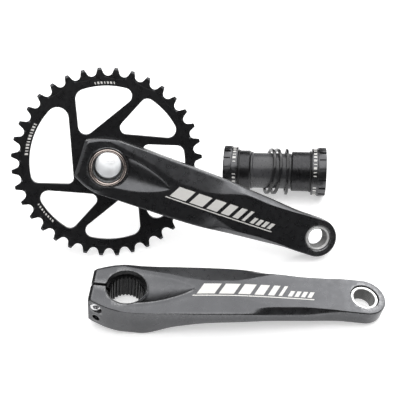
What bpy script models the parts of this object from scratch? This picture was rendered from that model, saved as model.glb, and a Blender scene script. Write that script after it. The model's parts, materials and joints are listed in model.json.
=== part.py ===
"""Two-piece bicycle crankset, laid out as a kit on a flat surface.

The drive side (arm, chainring and hollow axle in one) leans on the chainring's rim, the axle's end
and the pedal end.  The left arm and the threaded bottom bracket lie beside it.  Lengths are in
millimetres and angles in degrees; make_object turns them into metres.  Each group has a frame of
its own, an empty:
  drive  x along the arm, z along the axle, away from the bicycle, z = 0 on the chainring's face
  left   x along the arm, z along the clamp bore, away from the bicycle, z = 0 on the boss's face
  bb     z along the bottom bracket's axis, z = 0 halfway between its two ends
"""

import math

import bmesh
import bpy
import numpy as np
from mathutils import Matrix, Vector

MM = 0.001
GAP = 0.3  # between touching pieces

# Crank arms
CRANK_LENGTH = 170.0
PEDAL_FLARE = 16.0  # how far the pedal end stands out from the boss
PEDAL_THICKNESS = 13.0
PEDAL_RADIUS = 15.0
PEDAL_THREAD_RADIUS = 7.15  # 9/16 inch
INSERT_RADIUS = 9.7
INSERT_RECESS = 1.0
BOSS_FACE = 24.6  # of the drive arm, above the chainring
BOSS_THICKNESS = 26.0  # of the left arm
COLLAR_RADIUS = 15.4
COLLAR_HEIGHT = 0.4
FLUTE_END = 49.0
FLUTE_RADIUS = 13.6
FLUTE_DEPTH = 4.8
BACK_BEVEL = 1.6
# Along the arm: where its outer face breaks into a facet or chamfer, and how far that falls to the edge
RIDGE = (
    (-6, 19.4),
    (5, 18.0),
    (30, 13.5),
    (45, 9.0),
    (60, 6.8),
    (75, 6.8),
    (85, 8.5),
    (97, 12.3),
    (107, 15.0),
    (127, 14.6),
    (145, 14.4),
    (155, 14.4),
    (161, 14.2),
)
EDGE_DROP = (
    (-6, 1.2),
    (5, 1.6),
    (30, 2.8),
    (60, 3.6),
    (85, 3.5),
    (107, 5.0),
    (127, 3.5),
    (145, 1.8),
    (161, 0.6),
)
HALF_WIDTH = ((0, 21.6), (50, 21.4), (80, 20.6), (107, 18.6), (127, 17.1), (155, PEDAL_RADIUS))
# Along the arm: the heights of its outer face and of its underside over the boss's face
FLARE = ((8, 0.0), (20, 1.4), (35, 4.0), (60, 8.4), (82, 11.4), (105, 13.3), (130, 14.8), (155, PEDAL_FLARE))
UNDERSIDE = ((38, -13.8), (60, -6.4), (80, -2.9), (105, 0.3), (155, PEDAL_FLARE - PEDAL_THICKNESS))
DRIVE_BOSS_REACH, LEFT_BOSS_REACH = 22.0, 12.0  # where the back of each boss ends

# Chainring
TEETH = 36
CHAIN_PITCH = 12.7
ROLLER_SEAT = 3.97
PITCH_RADIUS = CHAIN_PITCH / (2 * math.sin(math.pi / TEETH))
TIP_RADIUS = 75.2
TIP_HALF_WIDTH = 1.2
TOOTH_PHASE = 7.98  # from the arm to the first gap between teeth
RING_THICKNESS = 3.0
WINDOW_RADIUS = 61.2
HUB_HOLE = 15.8
SNOUT_RADIUS = HUB_HOLE - GAP
RING_BOLT_CIRCLE = 18.8
RING_BOLT_RADIUS = 2.1
RING_BOLTS = 3

# Axle
AXLE_RADIUS = 12.0
AXLE_BORE = 10.0
AXLE_INNER_BORE = 9.3  # within the splined end, for the end cap's thread
AXLE_TOP = 6.8
AXLE_END = 103.3
SPLINES = 30
SPLINE_DEPTH = 0.8
SPLINE_LENGTH = 21.0
AXLE_STEP = SPLINE_LENGTH - AXLE_END
TRIM_RADIUS = 14.2
TRIM_SEAT = 22.6  # above the chainring

# Left arm's clamp
CLAMP_FACE = -25.5
CLAMP_BOLT_X = -19.5
CLAMP_BOLT_DEPTHS = (7.0, 18.0)
CLAMP_BOLT_RADIUS = 2.5
CLAMP_HEAD_RADIUS = 4.3
CLAMP_HEAD_HEIGHT = 4.6
CLAMP_SEAT = 10.5  # of a bolt head, from the arm's middle plane
CLAMP_BOLT_END = 12.0
SLIT = 2.5
CAP_SEAT_RADIUS = 14.5
CAP_SEAT_DEPTH = 4.5

# Bottom bracket
BB_HALF = 43.5
FLANGE_RADIUS = 21.0
FLANGE_COLLAR = 20.2
FLANGE_LENGTH = 12.0
SHELL_FACE_INNER = 18.2
NOTCHES = 16
NOTCH_LENGTH = 6.0
THREAD_RADIUS = 17.4  # 1.37 inch
CUP_BORE = 14.5
POCKET_RADIUS = 18.8
POCKET_DEPTH = 9.0
CUP_THREADS = {"left": 11.0, "right": 17.0}
SLEEVE_RADIUS = 15.4
SLEEVE_BORE = 13.0
BEARING_WIDTH = (1.6, 8.6)
INNER_RACE = (12.9, 14.0)
OUTER_RACE = (17.0, 18.5)
BALLS = 12
BALL_RADIUS = 1.2
CAGE_SIDES = 5
SPACER_RADII = (17.7, 20.2)
SPACER_THICKNESS = 2.5
# centre along the axis, tilt fore and aft, tilt sideways
SPACERS = ((-4.6, 13.0, -7.0), (0.8, 12.0, -8.0), (10.2, 2.0, -3.0))

# Where each group lies: a place on the surface, and a heading
LEFT_PLACE = (17.8, -116.4)
LEFT_HEADING = -13.7
BB_PLACE = (75.4, 6.6)
BB_HEADING = -18.0


def clear_scene():
    for obj in list(bpy.data.objects):
        bpy.data.objects.remove(obj)


def material(name, colour, roughness, metallic):
    made = bpy.data.materials.new(name)
    made.use_nodes = True
    shader = made.node_tree.nodes["Principled BSDF"]
    shader.inputs["Base Color"].default_value = (*colour, 1)
    shader.inputs["Roughness"].default_value = roughness
    shader.inputs["Metallic"].default_value = metallic
    made.diffuse_color = (*colour, 1)
    return made


def group(name, parent=None, location=(0, 0, 0), rotation=(0, 0, 0)):
    empty = bpy.data.objects.new(name, None)
    bpy.context.scene.collection.objects.link(empty)
    empty.parent = parent
    empty.location = Vector(location) * MM
    empty.rotation_euler = [math.radians(angle) for angle in rotation]
    return empty


def make_object(name, mesh, finish, parent, location=(0, 0, 0), rotation=(0, 0, 0), sharp=35):
    """The bmesh as an object, its faces turned outwards."""
    bmesh.ops.scale(mesh, vec=(MM, MM, MM), verts=mesh.verts)
    bmesh.ops.recalc_face_normals(mesh, faces=mesh.faces)
    data = bpy.data.meshes.new(name)
    mesh.to_mesh(data)
    mesh.free()
    data.shade_smooth()
    data.set_sharp_from_angle(angle=math.radians(sharp))
    obj = bpy.data.objects.new(name, data)
    bpy.context.scene.collection.objects.link(obj)
    obj.parent = parent
    obj.location = Vector(location) * MM
    obj.rotation_euler = [math.radians(angle) for angle in rotation]
    if finish:
        data.materials.append(finish)
    return obj


def boolean(target, operation, mesh, finish=None):
    """Cuts a bmesh from the object, or joins it on, in the object's own frame."""
    name = f"{target.name}_{operation.lower()}_{len(target.modifiers)}"
    tool = make_object(name, mesh, finish, target)
    tool.hide_render = True
    tool.display_type = "WIRE"
    modifier = target.modifiers.new(name, "BOOLEAN")
    modifier.operation = operation
    modifier.solver = "EXACT"
    modifier.object = tool


def turned(profile, segments):
    """A closed outline of (radius, height) points, turned about z."""
    mesh = bmesh.new()
    rings = []
    for step in range(segments):
        angle = 2 * math.pi * step / segments
        ring = [mesh.verts.new((r * math.cos(angle), r * math.sin(angle), z)) for r, z in profile]
        rings.append(ring)
    for step in range(segments):
        here, there = rings[step], rings[(step + 1) % segments]
        for i in range(len(profile)):
            j = (i + 1) % len(profile)
            mesh.faces.new((here[i], there[i], there[j], here[j]))
    return mesh


def rod(steps, segments):
    """A solid of revolution on z; steps are (radius, height) from one end to the other."""
    mesh = bmesh.new()
    rings = []
    for radius, z in steps:
        ring = []
        for step in range(segments):
            angle = 2 * math.pi * step / segments
            ring.append(mesh.verts.new((radius * math.cos(angle), radius * math.sin(angle), z)))
        rings.append(ring)
    close_loft(mesh, rings)
    return mesh


def close_loft(mesh, rings):
    """Skins the rings of vertices one to the next and caps the two ends."""
    count = len(rings[0])
    for here, there in zip(rings, rings[1:]):
        for i in range(count):
            j = (i + 1) % count
            mesh.faces.new((here[i], here[j], there[j], there[i]))
    mesh.faces.new(rings[0])
    mesh.faces.new(rings[-1])


def prism(outline, low, high):
    mesh = bmesh.new()
    rings = [[mesh.verts.new((x, y, z)) for x, y in outline] for z in (low, high)]
    close_loft(mesh, rings)
    return mesh


def joined(meshes):
    """Several bmeshes that don't meet, as one."""
    whole = bmesh.new()
    for mesh in meshes:
        data = bpy.data.meshes.new("joined")
        mesh.to_mesh(data)
        mesh.free()
        whole.from_mesh(data)
        bpy.data.meshes.remove(data)
    return whole


def moved(mesh, matrix):
    bmesh.ops.transform(mesh, matrix=matrix, verts=mesh.verts)
    return mesh


def polar(radius, degrees):
    angle = math.radians(degrees)
    return np.array((radius * math.cos(angle), radius * math.sin(angle)))


# Crank arms


def arm_section(x, half_width, top, bottom):
    """The arm's cross-section at x, as (y, z) points: a panel with facets or chamfers beside it."""
    ridge = np.interp(x, *zip(*RIDGE))
    drop = np.interp(x, *zip(*EDGE_DROP))
    ridge = min(ridge, half_width - min(drop, 0.25 * half_width))
    depth = 0.0
    flute = 3.5
    if 0 < x < FLUTE_END:
        share = x / FLUTE_END
        flute = max(flute, FLUTE_RADIUS * (1 - share**2) ** 0.7)
        depth = FLUTE_DEPTH * (1 - share) ** 0.8 * min(1.0, x / 5)
    flute = min(flute, 0.8 * ridge)
    bevel = min(BACK_BEVEL, 0.3 * half_width)
    side = [
        (0.55 * flute, top - 0.78 * depth),
        (flute, top),
        (ridge, top),
        (half_width, top - drop),
        (half_width, bottom + bevel),
        (half_width - bevel, bottom),
    ]
    return [(0.0, top - depth)] + side + [(-y, z) for y, z in reversed(side)]


def arm_stations(end_face):
    """(x, half width) from the boss's end face to the round pedal end."""
    stations = [(end_face, 14.0), (0.5 * (end_face - 6), 17.75), (-6.0, 21.4)]
    along = (0, 8, LEFT_BOSS_REACH, 17, DRIVE_BOSS_REACH, 28, 35, 42, FLUTE_END)
    along += (60, 75, 85, 97, 107, 127, 145, 155, 162)
    for x in along:
        stations.append((x, np.interp(x, *zip(*HALF_WIDTH))))
    for angle in (0, 20, 37, 52, 65, 76, 85):
        x, width = polar(PEDAL_RADIUS, 90 - angle)
        stations.append((CRANK_LENGTH + x, width))
    return stations


def arm_top(x):
    """The outer face's height over the boss's face."""
    return np.interp(x, *zip(*FLARE))


def arm_bottom(x, boss_thickness, boss_reach):
    """The inner face's height: flat under the boss, then rising to the pedal end."""
    return np.interp(x, *zip((boss_reach, -boss_thickness), *UNDERSIDE))


def crank_arm(name, finish, parent, face, end_face, boss_thickness, boss_reach):
    """The bare forging: a loft along x, with a collar round its bore."""
    mesh = bmesh.new()
    rings = []
    for x, half_width in arm_stations(end_face):
        top = arm_top(x)
        bottom = arm_bottom(x, boss_thickness, boss_reach)
        points = arm_section(x, half_width, top, bottom)
        rings.append([mesh.verts.new((x, y, face + z)) for y, z in points])
    close_loft(mesh, rings)
    arm = make_object(name, mesh, finish, parent)
    collar = rod(((COLLAR_RADIUS, face - 8), (COLLAR_RADIUS, face + COLLAR_HEIGHT)), 40)
    boolean(arm, "UNION", collar, finish)
    return arm


def pedal_insert(name, finish, parent, face):
    """A threaded bush in the pedal eye."""
    low = face + PEDAL_FLARE - PEDAL_THICKNESS + GAP
    high = face + PEDAL_FLARE - INSERT_RECESS
    inner, outer = PEDAL_THREAD_RADIUS, INSERT_RADIUS
    profile = ((inner, low + 1), (inner + 1, low), (outer, low))
    profile += ((outer, high), (inner + 1, high), (inner, high - 1))
    make_object(name, turned(profile, 32), finish, parent, location=(CRANK_LENGTH, 0, 0))


def pedal_eye():
    """The cutter for the insert's hole, well past both faces."""
    hole = rod(((INSERT_RADIUS + GAP, -60), (INSERT_RADIUS + GAP, 60)), 32)
    return moved(hole, Matrix.Translation((CRANK_LENGTH, 0, 0)))


def spline_outline(radius, depth, clearance):
    """Square splines round a circle; the outline steps between radius and radius - depth."""
    outline = []
    for tooth in range(SPLINES):
        for share, level in ((0.05, 0), (0.45, 0), (0.55, 1), (0.95, 1)):
            outline.append(polar(radius - level * depth + clearance, (tooth + share) * 360 / SPLINES))
    return outline


def build_drive_arm(finishes, drive):
    size = (BOSS_FACE, -22.0, BOSS_FACE - GAP, DRIVE_BOSS_REACH)
    arm = crank_arm("drive_arm", finishes["black"], drive, *size)
    snout_end = -RING_THICKNESS - 0.1 + GAP
    boolean(arm, "UNION", rod(((SNOUT_RADIUS, snout_end), (SNOUT_RADIUS, 6)), 40))
    wall = AXLE_RADIUS + GAP
    seat = TRIM_RADIUS + GAP
    neck = AXLE_RADIUS - 0.6
    shoulder = AXLE_TOP + GAP
    bore = ((wall, -10), (wall, shoulder), (neck, shoulder + 0.5))
    bore += ((neck, TRIM_SEAT), (seat, TRIM_SEAT), (seat, 40))
    boolean(arm, "DIFFERENCE", rod(bore, 40))
    boolean(arm, "DIFFERENCE", pedal_eye())
    holes = []
    for bolt in range(RING_BOLTS):
        x, y = polar(RING_BOLT_CIRCLE, bolt * 360 / RING_BOLTS)
        hole = rod(((RING_BOLT_RADIUS + GAP, -2), (RING_BOLT_RADIUS + GAP, 8.6)), 12)
        holes.append(moved(hole, Matrix.Translation((x, y, 0))))
    boolean(arm, "DIFFERENCE", joined(holes))

    pedal_insert("drive_pedal_insert", finishes["silver"], drive, BOSS_FACE)
    low, high = TRIM_SEAT + GAP, BOSS_FACE + COLLAR_HEIGHT + 0.3
    trim = ((AXLE_RADIUS - 0.3, low), (TRIM_RADIUS, low), (TRIM_RADIUS, high - 0.4))
    trim += ((TRIM_RADIUS - 0.6, high), (AXLE_RADIUS + 0.6, high), (AXLE_RADIUS - 0.3, high - 0.9))
    make_object("bore_trim_ring", turned(trim, 40), finishes["bronze"], drive)


def build_axle(finishes, drive):
    """A tube, splined where the left arm clamps on."""
    splined = -AXLE_END + SPLINE_LENGTH
    body = rod(((AXLE_RADIUS, splined - 1), (AXLE_RADIUS, AXLE_TOP)), 48)
    axle = make_object("axle", body, finishes["steel"], drive)
    outline = spline_outline(AXLE_RADIUS - 0.05, SPLINE_DEPTH, 0)
    boolean(axle, "UNION", prism(outline, -AXLE_END, splined))
    bore = ((AXLE_INNER_BORE, -AXLE_END - 10), (AXLE_INNER_BORE, AXLE_STEP))
    bore += ((AXLE_BORE, AXLE_STEP), (AXLE_BORE, AXLE_TOP + 10))
    boolean(axle, "DIFFERENCE", rod(bore, 40))


# Chainring


def tooth_outline():
    """Roller seats on the pitch circle, with a flat-topped tooth between each two."""
    outline = []
    for tooth in range(TEETH):
        angle = TOOTH_PHASE + tooth * 360 / TEETH
        centre = polar(PITCH_RADIUS, angle)
        for turn in (110, 145, 180, 215, 250):
            outline.append(centre + polar(ROLLER_SEAT, angle - turn))
        half_pitch = 180 / TEETH
        half_tip = math.degrees(TIP_HALF_WIDTH / TIP_RADIUS)
        outline.append(polar(TIP_RADIUS, angle + half_pitch - half_tip))
        outline.append(polar(TIP_RADIUS, angle + half_pitch + half_tip))
    return outline


def arc(centre, radius, start, end, steps):
    """Points on a circle from one direction to another, the short way round."""
    sweep = (end - start + 180) % 360 - 180
    return [centre + polar(radius, start + sweep * step / steps) for step in range(steps + 1)]


def rim_fillet(corner, direction, inward, radius):
    """The centre of a circle that touches a window's straight edge and its rim."""
    start = corner + inward * radius
    along = start @ direction
    reach = along**2 - start @ start + (WINDOW_RADIUS - radius) ** 2
    return start + direction * (math.sqrt(reach) - along)


def window_outline(corner, first, second, inner_radius, first_radius, second_radius, steps=5):
    """A window: a corner near the hub, two straight edges out of it and the rim's arc between them."""
    corner = np.array(corner)
    directions = [polar(1, first), polar(1, second)]
    inwards = [polar(1, first + 90), polar(1, second - 90)]
    half = math.radians((second - first) / 2)
    bisector = polar(1, (first + second) / 2)
    inner = corner + bisector * inner_radius / math.sin(half)
    points = arc(inner, inner_radius, second + 90, first - 90, steps)
    one = rim_fillet(corner, directions[0], inwards[0], first_radius)
    two = rim_fillet(corner, directions[1], inwards[1], second_radius)
    rim_one = math.degrees(math.atan2(one[1], one[0]))
    rim_two = math.degrees(math.atan2(two[1], two[0]))
    points += arc(one, first_radius, first - 90, rim_one, steps)
    points += arc(np.zeros(2), WINDOW_RADIUS, rim_one, rim_two, 2 * steps)[1:-1]
    points += arc(two, second_radius, rim_two, second + 90, steps)
    return points


def windows():
    """Three windows, and the same three half a turn round."""
    shapes = (
        ((-20.8, -23.5), 111.7, 196.4, 4.5, 8.5, 6.0),
        ((-26.6, 9.8), 57.2, 113.0, 6.0, 6.0, 8.0),
        ((-4.1, 24.6), 13.6, 66.0, 5.0, 6.5, 6.0),
    )
    outlines = []
    for shape in shapes:
        outline = window_outline(*shape)
        outlines.append(outline)
        outlines.append([-point for point in outline])
    return outlines


def build_chainring(finishes, drive):
    ring = make_object("chainring", prism(tooth_outline(), -RING_THICKNESS, 0), finishes["black"], drive)
    cuts = [prism(outline, -RING_THICKNESS - 3, 3) for outline in windows()]
    cuts.append(rod(((HUB_HOLE, -RING_THICKNESS - 3), (HUB_HOLE, 3)), 40))
    for bolt in range(RING_BOLTS):
        x, y = polar(RING_BOLT_CIRCLE, bolt * 360 / RING_BOLTS)
        hole = rod(((RING_BOLT_RADIUS + GAP, -RING_THICKNESS - 3), (RING_BOLT_RADIUS + GAP, 3)), 12)
        cuts.append(moved(hole, Matrix.Translation((x, y, 0))))
        name = f"chainring_bolt_{bolt + 1}"
        under = -RING_THICKNESS - GAP
        screw = [(3.4, under - 1.8), (3.8, under - 1.2), (3.8, under)]
        screw += [(RING_BOLT_RADIUS, under), (RING_BOLT_RADIUS, 8)]
        made = make_object(name, rod(screw, 12), finishes["black_steel"], drive, location=(x, y, 0))
        boolean(made, "DIFFERENCE", rod(((1.5, under - 5), (1.5, under - 0.6)), 6))
    boolean(ring, "DIFFERENCE", joined(cuts))


# Left arm


def build_left_arm(finishes, left):
    size = (0.0, CLAMP_FACE, BOSS_THICKNESS, LEFT_BOSS_REACH)
    arm = crank_arm("left_arm", finishes["black"], left, *size)
    boolean(arm, "DIFFERENCE", rod(((CAP_SEAT_RADIUS, -CAP_SEAT_DEPTH), (CAP_SEAT_RADIUS, 10)), 40))
    splines = spline_outline(AXLE_RADIUS + GAP + SPLINE_DEPTH, SPLINE_DEPTH, 0)
    boolean(arm, "DIFFERENCE", prism(splines, -BOSS_THICKNESS - 10, 5))
    boolean(arm, "DIFFERENCE", pedal_eye())
    slit = bmesh.new()
    bmesh.ops.create_cube(slit, size=1)
    bmesh.ops.scale(slit, vec=(30, SLIT, 80), verts=slit.verts)
    boolean(arm, "DIFFERENCE", moved(slit, Matrix.Translation((-26.0, 0, 0))))
    for index, depth in enumerate(CLAMP_BOLT_DEPTHS):
        side = (-1, 1)[index]  # the two bolts go in from opposite sides
        hole = rod(
            (
                (CLAMP_BOLT_RADIUS + GAP, -30),
                (CLAMP_BOLT_RADIUS + GAP, CLAMP_SEAT),
                (CLAMP_HEAD_RADIUS + GAP, CLAMP_SEAT),
                (CLAMP_HEAD_RADIUS + GAP, 30),
            ),
            20,
        )
        turn = Matrix.Rotation(math.radians(-90 * side), 4, "X")
        boolean(arm, "DIFFERENCE", moved(hole, Matrix.Translation((CLAMP_BOLT_X, 0, -depth)) @ turn))
        seat = CLAMP_SEAT + GAP
        top = seat + CLAMP_HEAD_HEIGHT
        bolt = rod(
            (
                (CLAMP_BOLT_RADIUS, -CLAMP_BOLT_END),
                (CLAMP_BOLT_RADIUS, seat),
                (CLAMP_HEAD_RADIUS, seat),
                (CLAMP_HEAD_RADIUS, top - 0.5),
                (CLAMP_HEAD_RADIUS - 0.5, top),
            ),
            20,
        )
        name = ("pinch_bolt_front", "pinch_bolt_rear")[index]
        place = (CLAMP_BOLT_X, 0, -depth)
        made = make_object(name, bolt, finishes["silver"], left, location=place, rotation=(-90 * side, 0, 0))
        boolean(made, "DIFFERENCE", rod(((2.3, top - 2.6), (2.3, top + 5)), 6))
    pedal_insert("left_pedal_insert", finishes["silver"], left, 0.0)


# Bottom bracket


def cup_frame(side, bb):
    """A frame at a cup's outer face, its z axis pointing at the bottom bracket's middle."""
    sign = {"left": -1, "right": 1}[side]
    turn = 0 if side == "left" else 180
    return group(f"{side}_cup_axis", bb, location=(0, 0, sign * BB_HALF), rotation=(turn, 0, 0))


def build_cup(finishes, side, frame):
    thread = CUP_THREADS[side]
    groove = FLANGE_LENGTH + 1.8
    end = FLANGE_LENGTH + thread
    profile = (
        (POCKET_RADIUS, 0),
        (FLANGE_RADIUS - 0.4, 0),
        (FLANGE_RADIUS, 0.6),
        (FLANGE_RADIUS, NOTCH_LENGTH + 0.6),
        (FLANGE_COLLAR, NOTCH_LENGTH + 1.2),
        (FLANGE_COLLAR, FLANGE_LENGTH),
        (SHELL_FACE_INNER, FLANGE_LENGTH),
        (SHELL_FACE_INNER, FLANGE_LENGTH - 0.2),
        (THREAD_RADIUS - 1.2, FLANGE_LENGTH - 0.2),
        (THREAD_RADIUS - 1.2, groove),
        (THREAD_RADIUS, groove + 0.3),
        (THREAD_RADIUS, end - 0.8),
        (THREAD_RADIUS - 0.8, end),
        (CUP_BORE, end),
        (CUP_BORE, POCKET_DEPTH),
        (POCKET_RADIUS, POCKET_DEPTH),
    )
    cup = make_object(f"bb_cup_{side}", turned(profile, 32), finishes["black"], frame)
    cuts = []
    for notch in range(NOTCHES):
        cut = bmesh.new()
        bmesh.ops.create_cube(cut, size=1)
        bmesh.ops.scale(cut, vec=(4, 2.6, 2 * NOTCH_LENGTH), verts=cut.verts)
        shift = Matrix.Translation((FLANGE_RADIUS + 0.9, 0, 0))
        cuts.append(moved(cut, Matrix.Rotation(2 * math.pi * notch / NOTCHES, 4, "Z") @ shift))
    boolean(cup, "DIFFERENCE", joined(cuts))


def build_bearing(finishes, side, frame):
    """A sealed ball bearing: two races, a ring of balls in its cage and a seal on each face."""
    near, far = BEARING_WIDTH
    for name, (inner, outer) in (("outer_race", OUTER_RACE), ("inner_race", INNER_RACE)):
        profile = ((inner, near), (outer, near), (outer, far), (inner, far))
        make_object(f"{name}_{side}", turned(profile, 24), finishes["steel"], frame)
    seal_inner, seal_outer = INNER_RACE[1] + GAP, OUTER_RACE[0] - GAP
    for name, low in (("outer_seal", near + 0.1), ("inner_seal", far - 0.6)):
        profile = ((seal_inner, low), (seal_outer, low), (seal_outer, low + 0.5), (seal_inner, low + 0.5))
        make_object(f"{name}_{side}", turned(profile, 24), finishes["rubber"], frame)
    middle = (0, 0, (near + far) / 2)
    make_object(f"ball_cage_{side}", ball_ring(), finishes["steel"], frame, location=middle)


def ball_ring():
    """Balls held in a thin cage: a ring whose own thickness swells at each ball."""
    mesh = bmesh.new()
    radius = (INNER_RACE[1] + OUTER_RACE[0]) / 2
    rings = []
    for ball in range(BALLS):
        shoulder = 0.8 * BALL_RADIUS
        for share, thickness in ((0, BALL_RADIUS), (0.18, shoulder), (0.5, 0.5), (0.82, shoulder)):
            x, y = polar(1, (ball + share) * 360 / BALLS)
            ring = []
            for corner in range(CAGE_SIDES):
                out, up = polar(thickness, corner * 360 / CAGE_SIDES)
                ring.append(mesh.verts.new((x * (radius + out), y * (radius + out), up)))
            rings.append(ring)
    for here, there in zip(rings, rings[1:] + rings[:1]):
        for i in range(CAGE_SIDES):
            j = (i + 1) % CAGE_SIDES
            mesh.faces.new((here[i], here[j], there[j], there[i]))
    return mesh


def build_dust_cap(finishes, side, frame):
    """A flanged plastic sleeve between the bearing and the axle."""
    bore, sleeve = AXLE_RADIUS + 0.1, INNER_RACE[0] - GAP
    flange = POCKET_RADIUS - 0.4
    profile = ((bore, 0.2), (flange - 0.2, 0.2), (flange, 0.5), (flange, 1.2))
    profile += ((sleeve, 1.2), (sleeve, 8.6), (bore, 8.6))
    make_object(f"dust_cap_{side}", turned(profile, 28), finishes["plastic"], frame)


def build_oring(finishes, side, frame):
    centre = FLANGE_LENGTH + 1.0
    profile = [tuple(polar(0.65, corner * 60) + (THREAD_RADIUS - 0.2, centre)) for corner in range(6)]
    make_object(f"flange_oring_{side}", turned(profile, 28), finishes["rubber"], frame)


def build_sleeve(finishes, bb):
    """The plastic shield tube, which plugs into both cups."""
    left = -BB_HALF + FLANGE_LENGTH + CUP_THREADS["left"] + GAP
    right = BB_HALF - FLANGE_LENGTH - CUP_THREADS["right"] - GAP
    plug = CUP_BORE - GAP
    profile = (
        (SLEEVE_BORE, left - 8),
        (plug, left - 8),
        (plug, left),
        (SLEEVE_RADIUS + 0.8, left),
        (SLEEVE_RADIUS + 0.8, left + 1.5),
        (SLEEVE_RADIUS, left + 2),
        (SLEEVE_RADIUS, right),
        (plug, right),
        (plug, right + 12),
        (SLEEVE_BORE, right + 12),
    )
    make_object("bb_sleeve", turned(profile, 32), finishes["grey_plastic"], bb)


def build_spacers(finishes, bb):
    """Loose shell spacers round the sleeve, each leaning its own way and standing on the surface."""
    inner, outer = SPACER_RADII
    half = SPACER_THICKNESS / 2
    edge = outer - 0.5
    profile = ((inner, -half), (edge, -half), (outer, -half + 0.5))
    profile += ((outer, half - 0.5), (edge, half), (inner, half))
    sag = FLANGE_RADIUS - outer - GAP / 2
    for index, (along, fore, sideways) in enumerate(SPACERS):
        name = f"spacer_ring_{index + 1}"
        turn = (sideways, fore, 0)
        ring = turned(profile, 32)
        make_object(name, ring, finishes["rubber"], bb, location=(sag, 0, along), rotation=turn)


def settle(groups):
    """Sets each group down on z = 0, then centres the whole kit over the origin."""
    bpy.context.view_layer.update()
    graph = bpy.context.evaluated_depsgraph_get()
    lowest, highest = [], []
    for empty in groups:
        points = []
        for obj in empty.children_recursive:
            if obj.type != "MESH" or obj.hide_render:
                continue
            evaluated = obj.evaluated_get(graph)
            points += [evaluated.matrix_world @ vertex.co for vertex in evaluated.data.vertices]
        points = np.array(points)
        empty.location.z -= points[:, 2].min()
        lowest.append(points.min(axis=0))
        highest.append(points.max(axis=0))
    middle = (np.min(lowest, axis=0) + np.max(highest, axis=0)) / 2
    for empty in groups:
        empty.location.x -= middle[0]
        empty.location.y -= middle[1]


def build():
    clear_scene()
    finishes = {
        "black": material("black_anodised", (0.018, 0.018, 0.02), 0.38, 0.85),
        "silver": material("machined_silver", (0.72, 0.72, 0.72), 0.28, 1.0),
        "bronze": material("bronze_anodised", (0.42, 0.33, 0.27), 0.3, 1.0),
        "steel": material("polished_steel", (0.66, 0.67, 0.68), 0.22, 1.0),
        "black_steel": material("black_steel", (0.03, 0.03, 0.03), 0.4, 0.9),
        "plastic": material("black_plastic", (0.02, 0.02, 0.02), 0.5, 0.0),
        "grey_plastic": material("grey_plastic", (0.11, 0.11, 0.115), 0.42, 0.0),
        "rubber": material("black_rubber", (0.02, 0.02, 0.02), 0.35, 0.0),
    }

    # The drive side stands on the ring's back edge, the axle's end and the pedal end's back edge.
    lean = math.atan2(AXLE_END - RING_THICKNESS, TIP_RADIUS - AXLE_RADIUS)
    pedal_back = BOSS_FACE + PEDAL_FLARE - PEDAL_THICKNESS
    fall = TIP_RADIUS - PEDAL_RADIUS + (RING_THICKNESS + pedal_back + BACK_BEVEL) / math.tan(lean)
    drop = math.asin(fall / CRANK_LENGTH)
    height = TIP_RADIUS * math.sin(lean) + RING_THICKNESS * math.cos(lean)
    stand = group("drive_stand", location=(-63.5, 0, height), rotation=(math.degrees(lean), 0, 0))
    drive = group("drive_axis", stand, rotation=(0, 0, -math.degrees(drop)))
    build_drive_arm(finishes, drive)
    build_axle(finishes, drive)
    build_chainring(finishes, drive)

    # The left arm lies on the edge of its boss and on its pedal end.
    sag = BOSS_THICKNESS + PEDAL_FLARE - PEDAL_THICKNESS
    pitch = math.atan2(sag, CRANK_LENGTH + PEDAL_RADIUS - 2 - LEFT_BOSS_REACH)
    height = BOSS_THICKNESS * math.cos(pitch) + LEFT_BOSS_REACH * math.sin(pitch)
    turn = (0, math.degrees(pitch), LEFT_HEADING)
    reach = Matrix.Rotation(math.radians(LEFT_HEADING), 2) @ Vector((CRANK_LENGTH / 2, 0))
    place = (LEFT_PLACE[0] - reach.x, LEFT_PLACE[1] - reach.y, height)
    left = group("left_bore_axis", location=place, rotation=turn)
    build_left_arm(finishes, left)

    bb = group("bb_axis", location=(*BB_PLACE, FLANGE_RADIUS), rotation=(0, 90, BB_HEADING))
    build_sleeve(finishes, bb)
    build_spacers(finishes, bb)
    for side in ("left", "right"):
        frame = cup_frame(side, bb)
        build_cup(finishes, side, frame)
        build_bearing(finishes, side, frame)
        build_dust_cap(finishes, side, frame)
        build_oring(finishes, side, frame)
    settle((stand, left, bb))


build()
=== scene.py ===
"""The looks of the crankset kit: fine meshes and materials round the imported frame.
"""

import json
import math

import bmesh
import bpy
import numpy as np
from mathutils import Matrix, Vector


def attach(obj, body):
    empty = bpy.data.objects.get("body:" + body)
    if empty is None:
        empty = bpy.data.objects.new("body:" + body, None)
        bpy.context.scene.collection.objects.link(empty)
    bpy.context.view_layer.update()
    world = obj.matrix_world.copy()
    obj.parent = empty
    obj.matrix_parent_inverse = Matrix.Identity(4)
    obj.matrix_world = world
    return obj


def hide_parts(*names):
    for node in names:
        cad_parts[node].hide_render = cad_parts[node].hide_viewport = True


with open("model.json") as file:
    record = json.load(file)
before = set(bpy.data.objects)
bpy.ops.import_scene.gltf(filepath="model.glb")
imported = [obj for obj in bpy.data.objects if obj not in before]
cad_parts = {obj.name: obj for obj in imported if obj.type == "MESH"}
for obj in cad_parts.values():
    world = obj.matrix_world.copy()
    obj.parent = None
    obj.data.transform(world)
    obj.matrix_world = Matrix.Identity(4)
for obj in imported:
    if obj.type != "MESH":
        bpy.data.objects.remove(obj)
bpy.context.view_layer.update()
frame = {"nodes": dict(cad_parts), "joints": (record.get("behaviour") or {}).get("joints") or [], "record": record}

MM = 0.001
GAP = 0.3  # that the frame keeps between touching pieces
ROUND = 96  # columns of a large turned surface
WELD = 0.0005
FULL_EDGE = 0.8  # radians between two faces that make a full edge
PRINT_BASE, PRINT_TOP = 0.02, 0.07  # of the printed graphics, over the face they are on

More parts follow.
